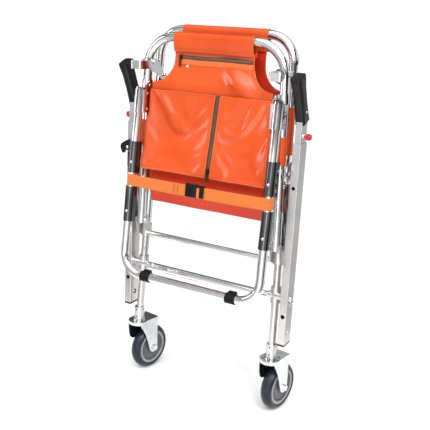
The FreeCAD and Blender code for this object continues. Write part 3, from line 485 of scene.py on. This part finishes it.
def add_turned(bm, centre, axis, profile, segments):
    """Adds a turned shape: (radius, distance along the axis) points revolved about the axis."""
    axis = Vector(axis).normalized()
    side = axis.orthogonal().normalized()
    up = axis.cross(side)
    rings = []
    for radius, along in profile:
        ring = []
        for k in range(segments):
            turn = 2 * math.pi * k / segments
            out = side * math.cos(turn) + up * math.sin(turn)
            ring.append(bm.verts.new(Vector(centre) + axis * along + out * radius))
        rings.append(ring)
    for low, high in zip(rings, rings[1:]):
        for k in range(segments):
            n = (k + 1) % segments
            bm.faces.new((low[k], low[n], high[n], high[k]))
    return rings


def turned(name, spots, profile, material, segments=24, capped=True):
    """The same turned shape at several (centre, axis) spots."""
    bm = bmesh.new()
    for centre, axis in spots:
        rings = add_turned(bm, centre, axis, profile, segments)
        if capped:
            bm.faces.new(list(reversed(rings[0])))
            bm.faces.new(rings[-1])
    bmesh.ops.recalc_face_normals(bm, faces=bm.faces)
    return link_mesh(name, bm, material)


def screw_profile(radius, high):
    """Domed head with a dished middle."""
    shape = [(1, -0.5), (1, 0.25), (0.86, 0.7), (0.6, 0.95), (0.42, 1), (0.36, 0.55), (0.1, 0.5)]
    return [(radius * out, high * up) for out, up in shape]


def add_block(bm, low, high, bevel):
    made = bmesh.ops.create_cube(bm, size=1.0)["verts"]
    low, high = Vector(low), Vector(high)
    for vert in made:
        vert.co = Vector([low[k] + (vert.co[k] + 0.5) * (high[k] - low[k]) for k in range(3)])
    edges = list({edge for vert in made for edge in vert.link_edges})
    bmesh.ops.bevel(bm, geom=edges, offset=bevel, segments=1, affect="EDGES", profile=0.5)


# ---- covers ----
def wrap_cover(name, node, low_z, seed):
    """Cloth folded over a top bar, its two hanging leaves sewn together under the bar."""
    low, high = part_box(node)
    radius = TUBE_R + VINYL
    y = (low[1] + high[1]) / 2
    z_bar = high[2] - TUBE_R - 0.002
    drop = z_bar - low_z
    arc = math.pi * radius
    total = 2 * drop + arc

    def place(u, v):
        x = low[0] + (high[0] - low[0]) * u
        run = v * total
        if run < drop or run > drop + arc:
            down = drop - run if run < drop else run - drop - arc
            side = -1 if run < drop else 1
            out = radius * (1 - 0.45 * (down / drop) ** 3)
            point = Vector((x, y + side * out, z_bar - down))
        else:
            turn = (run - drop) / radius
            point = Vector((x, y - radius * math.cos(turn), z_bar + radius * math.sin(turn)))
        hang = max(0.0, (z_bar - point.z) / drop)
        point.y += hang * 0.0020 * noise.noise(Vector((point.x * 14, point.z * 9, seed)))
        point.z += hang * 0.0010 * math.sin(point.x * 23 + seed)
        hem = 0.0007 * math.exp(-((point.z - low_z - 0.006) / 0.0016) ** 2)
        point.y += hem if point.y < y else -hem
        return point

    cover = grid(name, place, 90, 70, "orange_vinyl")
    thicken(cover, VINYL)
    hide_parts(node)
    return cover


NECK_Z = 0.864
SHOULDER_Z = 0.820


def cover_half_width(z, neck, wide, low, low_wide):
    """Half width of a cover at height z: a neck, a hollow flare, straight sides, a narrower foot."""
    if z > SHOULDER_Z:
        t = min(1.0, max(0.0, (NECK_Z + 0.022 - z) / (NECK_Z + 0.022 - SHOULDER_Z)))
        return neck + (wide - neck) * (1 - math.sqrt(max(0.0, 1 - t ** 2.2)))
    foot = low + 0.085
    if z > foot:
        return wide
    return wide + (low_wide - wide) * ((foot - z) / (foot - low)) ** 1.5


def seat_y(z):
    """The seat cover leaves the middle of its bar and passes in front of the uprights."""
    y_bar = mid(SEAT_BAR, 1)
    t = min(1.0, max(0.0, (0.872 - z) / 0.062))
    return y_bar - 0.0122 * t * t * (3 - 2 * t)


def seat_cover():
    top = SEAT_SHEET[1][2] + 0.010
    low = SEAT_SHEET[0][2]

    def place(u, v):
        z = top + (low - top) * v
        half = cover_half_width(z, 0.108, SEAT_COVER_WIDE / 2, low, 0.157)
        x = half * (2 * u - 1)
        edge = 1 - abs(2 * u - 1)
        y = seat_y(z)
        slack = 0.0030 * noise.noise(Vector((x * 11, z * 9, 3.1)))
        pull = 0.0130 * math.exp(-(((x - 0.068) * 0.80 + (z - 0.840) * 0.6) / 0.025) ** 2)
        pull *= math.exp(-((z - 0.838) / 0.028) ** 2)
        foot = 0.0008 * math.sin(x * 47) * max(0.0, 1 - (z - low) / 0.05)
        return Vector((x, y + (slack - pull) * min(1.0, edge * 6) + foot, z))

    cover = grid("seat_cover", place, 110, 130, "shaded_vinyl")
    cover.data.materials.append(MATERIALS["orange_vinyl"])
    # Faces below z 0.80 take the darker copy of the vinyl as painted shade. The neck above keeps the
    # orange.
    for face in cover.data.polygons:
        face.material_index = 1 if face.center.z > 0.80 else 0
    thicken(cover, VINYL, 0)
    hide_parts("seat_sheet")
    return cover


def back_y(z):
    """Y of the back frame's uprights at height z."""
    top_z = BACK_BAR[1][2] - TUBE_R
    return (z - FRAME_FOOT_Z) / (top_z - FRAME_FOOT_Z) * (BACK_BAR[1][1] - TUBE_R)


def back_x(z):
    """X of the back frame's right upright at height z."""
    top_z = BACK_BAR[1][2] - TUBE_R
    return 0.203 + (0.183 - 0.203) * (z - FRAME_FOOT_Z) / (top_z - FRAME_FOOT_Z)


def seat_x(z):
    """X of the seat frame's right upright at height z."""
    return 0.1856 + (0.1965 - 0.1856) * (0.931 - z) / 0.486


def back_cover():
    top = BACK_SHEET[1][2] + 0.008
    low = BACK_SHEET[0][2]

    def place(u, v):
        z = top + (low - top) * v
        half = cover_half_width(z, 0.113, BACK_COVER_WIDE / 2, low, 0.158)
        x = half * (2 * u - 1)
        edge = 1 - abs(2 * u - 1)
        y = back_y(z) + 0.0035 * noise.noise(Vector((x * 11, z * 8, 9.7))) * min(1.0, edge * 5)
        return Vector((x, y, z))

    # The back cover is drawn in the darker copy of the vinyl: painted shade.
    cover = grid("back_cover", place, 100, 120, "shaded_vinyl")
    thicken(cover, VINYL, 0)
    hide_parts("back_sheet")
    return cover


def sleeve(name, side, z0, z1, x_of, y_of, start_x, start_y, material):
    """Flap of the cover that goes round an upright and comes back to itself."""
    radius = TUBE_R + VINYL

    def place(u, v):
        z = z0 + (z1 - z0) * v
        cx, cy = x_of(z), y_of(z)
        front = cy - radius
        flap = cx - start_x
        arc = radius * math.radians(300)
        total = flap + arc
        run = u * total
        if run < flap:
            share = run / flap
            x = start_x + run
            y = start_y(z) + (front - start_y(z)) * share ** 1.5
        else:
            turn = (run - flap) / radius
            x = cx + radius * math.sin(turn)
            y = cy - radius * math.cos(turn)
        y += 0.0006 * noise.noise(Vector((x * 60, z * 40, side * 3.0)))
        return Vector((side * x, y, z))

    across = 46
    loop = grid(name, place, across, 34, material)
    thicken(loop, VINYL)
    wide = run_length([place(i / across, 0.5) for i in range(across + 1)])
    return loop


# ---- pockets and zips ----
ZIP_FOOT_Z = 0.622


def zip_x(z):
    """X of the upright zip at height z, along the way that its slider runs."""
    return 0.0205 + 0.047 * (z - ZIP_FOOT_Z)


def zip_y(z):
    """Y of the upright zip at height z."""
    return -0.0505 + 0.0973 * (z - ZIP_FOOT_Z)


# Folds of each pocket: a line from (x, z) to (x, z), the fold's width and its height.
FOLDS = {
    "left": [((-0.142, 0.800), (-0.062, 0.715), 0.015, 0.0080),
             ((-0.062, 0.715), (-0.112, 0.640), 0.020, 0.0060),
             ((-0.105, 0.800), (-0.060, 0.745), 0.016, -0.0035),
             ((-0.155, 0.730), (-0.110, 0.680), 0.022, -0.0040),
             ((-0.020, 0.770), (-0.012, 0.660), 0.014, 0.0030)],
    "right": [((0.040, 0.705), (0.135, 0.772), 0.020, 0.0080),
              ((0.060, 0.645), (0.140, 0.690), 0.018, 0.0050),
              ((0.060, 0.748), (0.100, 0.785), 0.014, -0.0030),
              ((0.050, 0.620), (0.150, 0.632), 0.014, 0.0035)],
}


def fold_height(x, z, folds):
    """Height of the broad folds at a point: soft ridges along lines."""
    height = 0.0
    for (x0, z0), (x1, z1), wide, high in folds:
        dx, dz = x1 - x0, z1 - z0
        share = ((x - x0) * dx + (z - z0) * dz) / (dx * dx + dz * dz)
        share = min(1.0, max(0.0, share))
        away = math.hypot(x - x0 - dx * share, z - z0 - dz * share)
        fade = 0.35 + 0.65 * math.sin(math.pi * (0.15 + 0.7 * share))
        height += high * fade * math.exp(-(away / wide) ** 2)
    return height


def settle_cloth(obj, pinned, spare):
    """Runs Cloth on a panel held at its pinned points, and applies the result."""
    group = obj.vertex_groups.new(name="held")
    for vert in obj.data.vertices:
        hold = pinned(vert.co)
        if hold > 0:
            group.add([vert.index], hold, "REPLACE")
    mod = obj.modifiers.new("cloth", "CLOTH")
    cloth = mod.settings
    cloth.quality = 6
    cloth.mass = 0.3
    cloth.tension_stiffness = 30
    cloth.compression_stiffness = 30
    cloth.shear_stiffness = 15
    cloth.bending_stiffness = 40.0
    cloth.vertex_group_mass = "held"
    cloth.shrink_min = -spare
    cloth.effector_weights.gravity = 0.2
    mod.point_cache.frame_start = 1
    mod.point_cache.frame_end = CLOTH_FRAMES
    mod.collision_settings.use_collision = False
    scene = bpy.context.scene
    scene.frame_start = 1
    scene.frame_end = CLOTH_FRAMES
    for number in range(1, CLOTH_FRAMES + 1):
        scene.frame_set(number)
    apply_modifiers(obj)
    scene.frame_set(1)


def pocket_panel(word, side, seed):
    """One pocket: gusseted outer side and foot, inner edge sewn to the zip, top edge open."""
    top = POCKET[1][2]
    low = POCKET[0][2]
    back = POCKET[1][1] - 0.0006
    across = 70
    along = 84

    def outer_x(z):
        low_part = min(1.0, max(0.0, (0.660 - z) / 0.025))
        return side * (0.1700 + 0.0080 * min(1.0, max(0.0, (0.745 - z) / 0.020)) + 0.0050 * low_part)

    def place(u, v):
        z = top + (low - top) * v
        inner_x = zip_x(z) + side * 0.0052
        x = outer_x(z) + (inner_x - outer_x(z)) * u
        front = zip_y(z)
        gusset = min(abs(x - outer_x(z)) / 0.007, 1.0)
        swell = math.sin(gusset * math.pi / 2) ** 0.55
        foot = min((z - low) / 0.007, 1.0)
        swell *= max(0.05, math.sin(max(0.0, foot) * math.pi / 2)) ** 0.5
        y = back + (front - back) * (0.05 + 0.95 * swell)
        seam = math.exp(-abs(x - inner_x) / 0.012)
        body = math.sin(math.pi * min(1.0, u * 1.1)) * min(1.0, (top - z) / 0.03)
        y -= 0.0030 * body * swell
        y += 0.0028 * (1 - seam) * math.exp(-(top - z) / 0.02)
        y -= fold_height(x, z, FOLDS[word]) * swell * (1 - seam) * min(1.0, (top - z) / 0.012 + 0.2)
        pucker = seam * (1 - math.exp(-abs(x - inner_x) / 0.002))
        y += 0.0007 * math.sin(2 * math.pi * z / 0.0135 + seed) * pucker
        y += 0.0016 * noise.noise(Vector((x * 10, z * 11, seed)))
        return Vector((x, y, z))

    panel = grid(f"pocket_{word}", place, across, along, "orange_vinyl")

    def pinned(co):
        inner = abs(co.x - zip_x(co.z) - side * 0.0052)
        edge = min(abs(co.x - outer_x(co.z)), inner, abs(co.z - low) * 0.8)
        if edge < 0.003:
            return 1.0
        if co.z > top - 0.003:
            return 0.9
        return 0.04

    settle_cloth(panel, pinned, spare=0.004)
    modify(panel, "SMOOTH", factor=0.5, iterations=12)
    apply_modifiers(panel)
    for vert in panel.data.vertices:
        vert.co.y = min(back, max(POCKET[0][1] - 0.009, vert.co.y))
        if abs(vert.co.x) > leg_x(vert.co.z) - TUBE_R - 0.003:
            vert.co.y = max(vert.co.y, leg_y(vert.co.z) + TUBE_R + 0.002)
    points = [vert.co.copy() for vert in panel.data.vertices]
    row = across + 1
    top_edge = points[:row]
    foot_row = points[(along - 3) * row:(along - 2) * row]
    inner_edge = [points[j * row + across] for j in range(along - 1)]
    out = Vector((0, -0.0006, 0))
    edging = cords(f"pocket_piping_{word}", [[p + out + Vector((0, 0, 0.0004)) for p in top_edge[2:]],
                                             [p + out for p in foot_row[3:]],
                                             [p + out for p in inner_edge]], 0.00105, "orange_piping")
    thicken(panel, VINYL)
    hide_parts("seat_pocket")
    return [panel, edging]


def zip_teeth(name, spots, wide, sideways):
    """Two rows of interlocking metal teeth along a line of points."""
    bm = bmesh.new()
    for i, spot in enumerate(spots):
        shift = wide * 0.35 * (1 if i % 2 else -1)
        if sideways:
            low = (spot.x - 0.00055, spot.y - 0.0010, spot.z + shift - wide / 2)
            high = (spot.x + 0.00055, spot.y + 0.0004, spot.z + shift + wide / 2)
        else:
            low = (spot.x + shift - wide / 2, spot.y - 0.0010, spot.z - 0.00055)
            high = (spot.x + shift + wide / 2, spot.y + 0.0004, spot.z + 0.00055)
        add_block(bm, low, high, 0.00018)
    return link_mesh(name, bm, "zip_brass")


def zips():
    top = POCKET[1][2]
    low = POCKET[0][2] + 0.004

    def upright(u, v):
        z = top - 0.001 + (low - top) * v
        wave = 0.0003 * math.sin(z * 300)
        return Vector((zip_x(z) + 0.0116 * (u - 0.5), zip_y(z) + 0.0006 + wave, z))

    def level(u, v):
        x = -0.098 + 0.203 * u
        z = 0.8795 + 0.0102 * v + 0.0006 * math.sin(x * 40)
        return Vector((x, seat_y(z) - 0.0009 - 0.0004 * math.sin(math.pi * v), z))

    def flap(u, v):
        x = -0.090 + 0.196 * u
        z = 0.8665 + 0.0130 * v + 0.0005 * math.sin(x * 52)
        return Vector((x, seat_y(z) - 0.0010 - 0.0010 * math.sin(math.pi * v) ** 0.5, z))

    pieces = []
    for name, place, size, material, held in (
            ("pocket_zip_tape", upright, (6, 80), "zip_tape", (0.0116, top - low)),
            ("seat_zip_tape", level, (90, 4), "zip_tape", (0.203, 0.0102)),
            ("seat_zip_flap", flap, (90, 6), "orange_piping", (0.196, 0.0130))):
        tape = grid(name, place, *size, material)
        thicken(tape, 0.0007)
        pieces.append(tape)
    count = 76
    heights = [top - 0.003 + (low + 0.006 - top) * i / (count - 1) for i in range(count)]
    line = [Vector((zip_x(z), zip_y(z), z)) for z in heights]
    pieces.append(zip_teeth("pocket_zip_teeth", line, 0.0026, False))
    line = [Vector((-0.096 + 0.198 * i / 79, seat_y(0.8845) - 0.0013, 0.8847)) for i in range(80)]
    pieces.append(zip_teeth("seat_zip_teeth", line, 0.0026, True))
    snap = (-0.072, seat_y(0.8635) - 0.0012, 0.8635)
    pieces.append(turned("seat_snap", [(snap, (0, -1, 0))], screw_profile(0.0036, 0.0016), "bright_steel"))
    return pieces


def soft_goods():
    back = [wrap_cover("back_wrap_cover", "back_wrap", BACK_WRAP[0][2], 5.0)]
    back.append(back_cover())
    seat = [wrap_cover("seat_wrap_cover", "seat_wrap", SEAT_WRAP[0][2] + 0.004, 2.0)]
    seat.append(seat_cover())
    seat += pocket_panel("left", -1, 1.7) + pocket_panel("right", 1, 4.4) + zips()
    y_seat = mid(SEAT_BAR, 1)
    for word, side in SIDES.items():
        seat.append(sleeve(f"seat_sleeve_{word}", side, 0.656, 0.722, seat_x, lambda z: y_seat, 0.160,
                           seat_y, "orange_vinyl"))
        back.append(sleeve(f"back_sleeve_{word}", side, 0.674, 0.788, back_x, back_y, 0.164, back_y,
                           "orange_vinyl"))
        # The low back sleeves take the darker copy of the vinyl: painted shade.
        back.append(sleeve(f"back_low_sleeve_{word}", side, 0.536, 0.604, back_x, back_y, 0.160, back_y,
                           "shaded_vinyl"))
    for piece in seat:
        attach(piece, "seat_frame")
    for piece in back:
        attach(piece, "back_frame")


# ---- strap ----
def leg_x(z):
    """X of the front leg's right upright at height z."""
    return LEG[1][0] - TUBE_R - LEG_CLOSE * (z - LEG[0][2] - TUBE_R) / LEG_HIGH


def leg_y(z):
    """Y of the front leg's uprights at height z."""
    bar_y = LEG[0][1] + TUBE_R
    return bar_y + LEG_LEAN * (z - LEG[0][2] - TUBE_R) / LEG_HIGH


def strap():
    """Webbing round the leg's uprights and across the front, parted at the buckle."""
    z_mid = mid(STRAP, 2)
    reach = leg_x(z_mid)
    y_tube = leg_y(z_mid)
    radius = TUBE_R + 0.0013
    lean = LEG_LEAN / LEG_HIGH
    half = 0.0145
    start = 0.016
    straight = reach - start
    arc = radius * math.radians(330)

    def place(u, v, side):
        run = u * (straight + arc)
        height = (v - 0.5) * 2 * half
        if run < straight:
            x = start + run
            y = y_tube - radius - 0.0012 * math.sin(math.pi * run / straight)
            sag = -0.0018 * math.cos(math.pi / 2 * x / reach)
        else:
            turn = (run - straight) / radius
            loose = radius + 0.0004 * turn / math.pi
            x = reach + loose * math.sin(turn)
            y = y_tube - loose * math.cos(turn)
            sag = 0.0
        y += height * lean + 0.0005 * noise.noise(Vector((x * 30, height * 50, side)))
        return Vector((side * x, y, z_mid + height + sag))

    for word, side in SIDES.items():
        band = grid(f"strap_{word}", lambda u, v, s=side: place(u, v, s), 150, 10, "orange_webbing")
        thicken(band, WEBBING)
        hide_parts("leg_strap")
        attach(band, "front_leg")

    front = y_tube - radius
    runs = []
    for row in range(2):
        x0 = -0.058 + 0.011 * row
        run = []
        for i in range(13):
            z = z_mid - 0.010 + 0.020 * i / 12
            run.append(Vector((x0 + (0.0035 if i % 2 else 0.0), front - 0.0026 + (z - z_mid) * lean, z)))
        runs.append(run)
    tacks = cords("strap_stitches", runs, 0.00045, "thread", 6)
    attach(tacks, "front_leg")

    def loop(u, v):
        x = 0.0085 + 0.0085 * u
        turn = math.pi * u
        z = z_mid - 0.0125 + 0.025 * v
        return Vector((x, front - 0.0042 - 0.0024 * math.sin(turn) + (z - z_mid) * lean, z - 0.0008))

    keeper = grid("buckle_webbing", loop, 12, 16, "orange_webbing")
    thicken(keeper, 0.0010)
    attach(keeper, "front_leg")

    bm = bmesh.new()
    end_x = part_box("buckle_housing")[0][0]
    for i in range(4):
        x = end_x + 0.0040 + 0.0044 * i
        low = (x, front - 0.0070, z_mid - 0.0120)
        add_block(bm, low, (x + 0.0020, front - 0.0052, z_mid + 0.0120), 0.0005)
    for vert in bm.verts:
        vert.co.y += (vert.co.z - z_mid) * lean
    ribs = link_mesh("buckle_ribs", bm, "black_plastic", False)
    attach(ribs, "front_leg")


# ---- small hardware ----
def joint(name):
    for entry in frame["record"]["behaviour"]["joints"]:
        if entry["name"] == name:
            return entry


def fork_shade_sheet(name, side, hub, axle):
    """Thin dark sheet on the inner face of the fork's deep cheek: painted shade, standing in for the shadow
    on that inner face.
    """
    behind = Vector((-axle.y, axle.x, 0))
    outline = [(-0.021, 0.152), (-0.0215, 0.135), (-0.0200, 0.119), (-0.0160, 0.105), (-0.0080, 0.0975),
               (0.006, 0.0935), (0.0165, 0.0810), (0.030, 0.0800), (0.045, 0.0950), (0.050, 0.152)]
    bm = bmesh.new()
    faces = []
    for across in (-0.0182, -0.0171):
        faces.append([bm.verts.new(Vector((hub.x, hub.y, 0)) + axle * across + behind * (y - TRAIL)
                                   + Vector((0, 0, z))) for y, z in outline])
    bm.faces.new(faces[0])
    bm.faces.new(list(reversed(faces[1])))
    for i in range(len(outline)):
        k = (i + 1) % len(outline)
        bm.faces.new((faces[0][k], faces[0][i], faces[1][i], faces[1][k]))
    bmesh.ops.recalc_face_normals(bm, faces=bm.faces)
    painted_shade = link_mesh(name, bm, "black_plastic", False)
    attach(painted_shade, f"{'left' if side < 0 else 'right'}_caster")


def hardware():
    """Rims, rivets, screws and plugs of each side, riding the bodies they are fixed to."""
    for word, side in SIDES.items():
        spin = joint(f"{word}_wheel_spin")
        hub = Vector(spin["pos_m"])
        axle = Vector(spin["axis"])
        spots = [(hub, axle), (hub, -axle)]
        ring = [(0.0405, 0.0110), (0.0405, 0.0144), (0.0415, 0.0151), (0.0462, 0.0151), (0.0476, 0.0143),
                (0.0476, 0.0120)]
        rim = turned(f"rim_ring_{word}", spots, ring, "rim_grey", 72, False)
        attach(rim, f"{word}_wheel")
        spokes = [(0.0150, 0.0100), (0.0150, 0.0118), (0.0165, 0.0122), (0.0350, 0.0122), (0.0362, 0.0116),
                  (0.0362, 0.0100)]
        disc = turned(f"hub_disc_{word}", spots, spokes, "grey_plastic", 60, False)
        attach(disc, f"{word}_wheel")

        stem = Vector((hub.x + TRAIL * axle.y, hub.y - TRAIL * axle.x, 0))
        # A dark sheet inside each fork's deep cheek: painted shade.
        fork_shade_sheet(f"fork_shade_sheet_{word}", side, hub, axle)
        spots = [(stem + Vector((math.cos(a), math.sin(a), 0)) * 0.0215 + Vector((0, 0, 0.1572)), (0, 0, 1))
                 for a in (math.radians(35 + 62 * i) for i in range(6))]
        rivets = turned(f"plate_rivets_{word}", spots, screw_profile(0.0024, 0.0014), "dark_steel")
        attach(rivets, f"{word}_caster")

        rail_x = side * RAIL_X
        heads = [((rail_x + side * 0.0100, RAIL_Y, 0.236), (side, 0, 0)),
                 ((rail_x - side * 0.0080, RAIL_Y, 0.236), (-side, 0, 0))]
        bolts = turned(f"rail_screws_{word}", heads, screw_profile(0.0036, 0.0020), "bright_steel")
        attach(bolts, f"{word}_rail")

        collar_spots = [(stem + Vector((s * 0.0130, 0, 0.1900)), (s, 0, 0)) for s in (-1, 1)]
        collar_spots += [(stem + Vector((0, -0.0130, z)), (0, -1, 0)) for z in (0.1700, 0.1900)]
        screws = turned(f"socket_screws_{word}", collar_spots, screw_profile(0.0022, 0.0022), "dark_steel")
        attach(screws, "back_frame")

        grip_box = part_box(f"grip_{word}")
        middle = mid(grip_box, 0)
        low_y = RAIL_Y - 0.42 * 0.013
        low_z = grip_box[0][2] + 0.031
        heads = [((middle + s * 0.0124, low_y, low_z), (s, 0, 0)) for s in (-1, 1)]
        screws = turned(f"grip_screws_{word}", heads, screw_profile(0.0030, 0.0016), "bright_steel")
        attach(screws, f"{word}_handle")

        plug = [(0.0020, -0.0060), (0.0084, -0.0060), (0.0084, -0.0012), (0.0076, -0.0006),
                (0.0020, -0.0004)]
        top_z = LEG[1][2] - 0.0014
        at = (side * leg_x(top_z), leg_y(top_z), top_z)
        cap = turned(f"leg_plug_{word}", [(at, (0, 0.104, 0.995))], plug, "grey_plastic")
        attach(cap, "front_leg")


def latch_strip():
    """Dark edge strip below the latch on the left rail, with its rivet."""
    bm = bmesh.new()
    low_y = mid(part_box("rail_end_cap_left"), 1) - 0.0190
    add_block(bm, (-0.2408, low_y - 0.0014, 0.585), (-0.2365, low_y, 0.632), 0.0004)
    strip = link_mesh("latch_strip", bm, "dark_steel", False)
    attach(strip, "left_rail")
    spot = ((-0.2395, low_y - 0.0014, 0.590), (0, -1, 0))
    rivet = turned("latch_strip_rivet", [spot], screw_profile(0.0022, 0.0014), "bright_steel")
    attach(rivet, "left_rail")


camera()
make_materials()
studio()
floor()
dress_cad()
soft_goods()
strap()
hardware()
latch_strip()
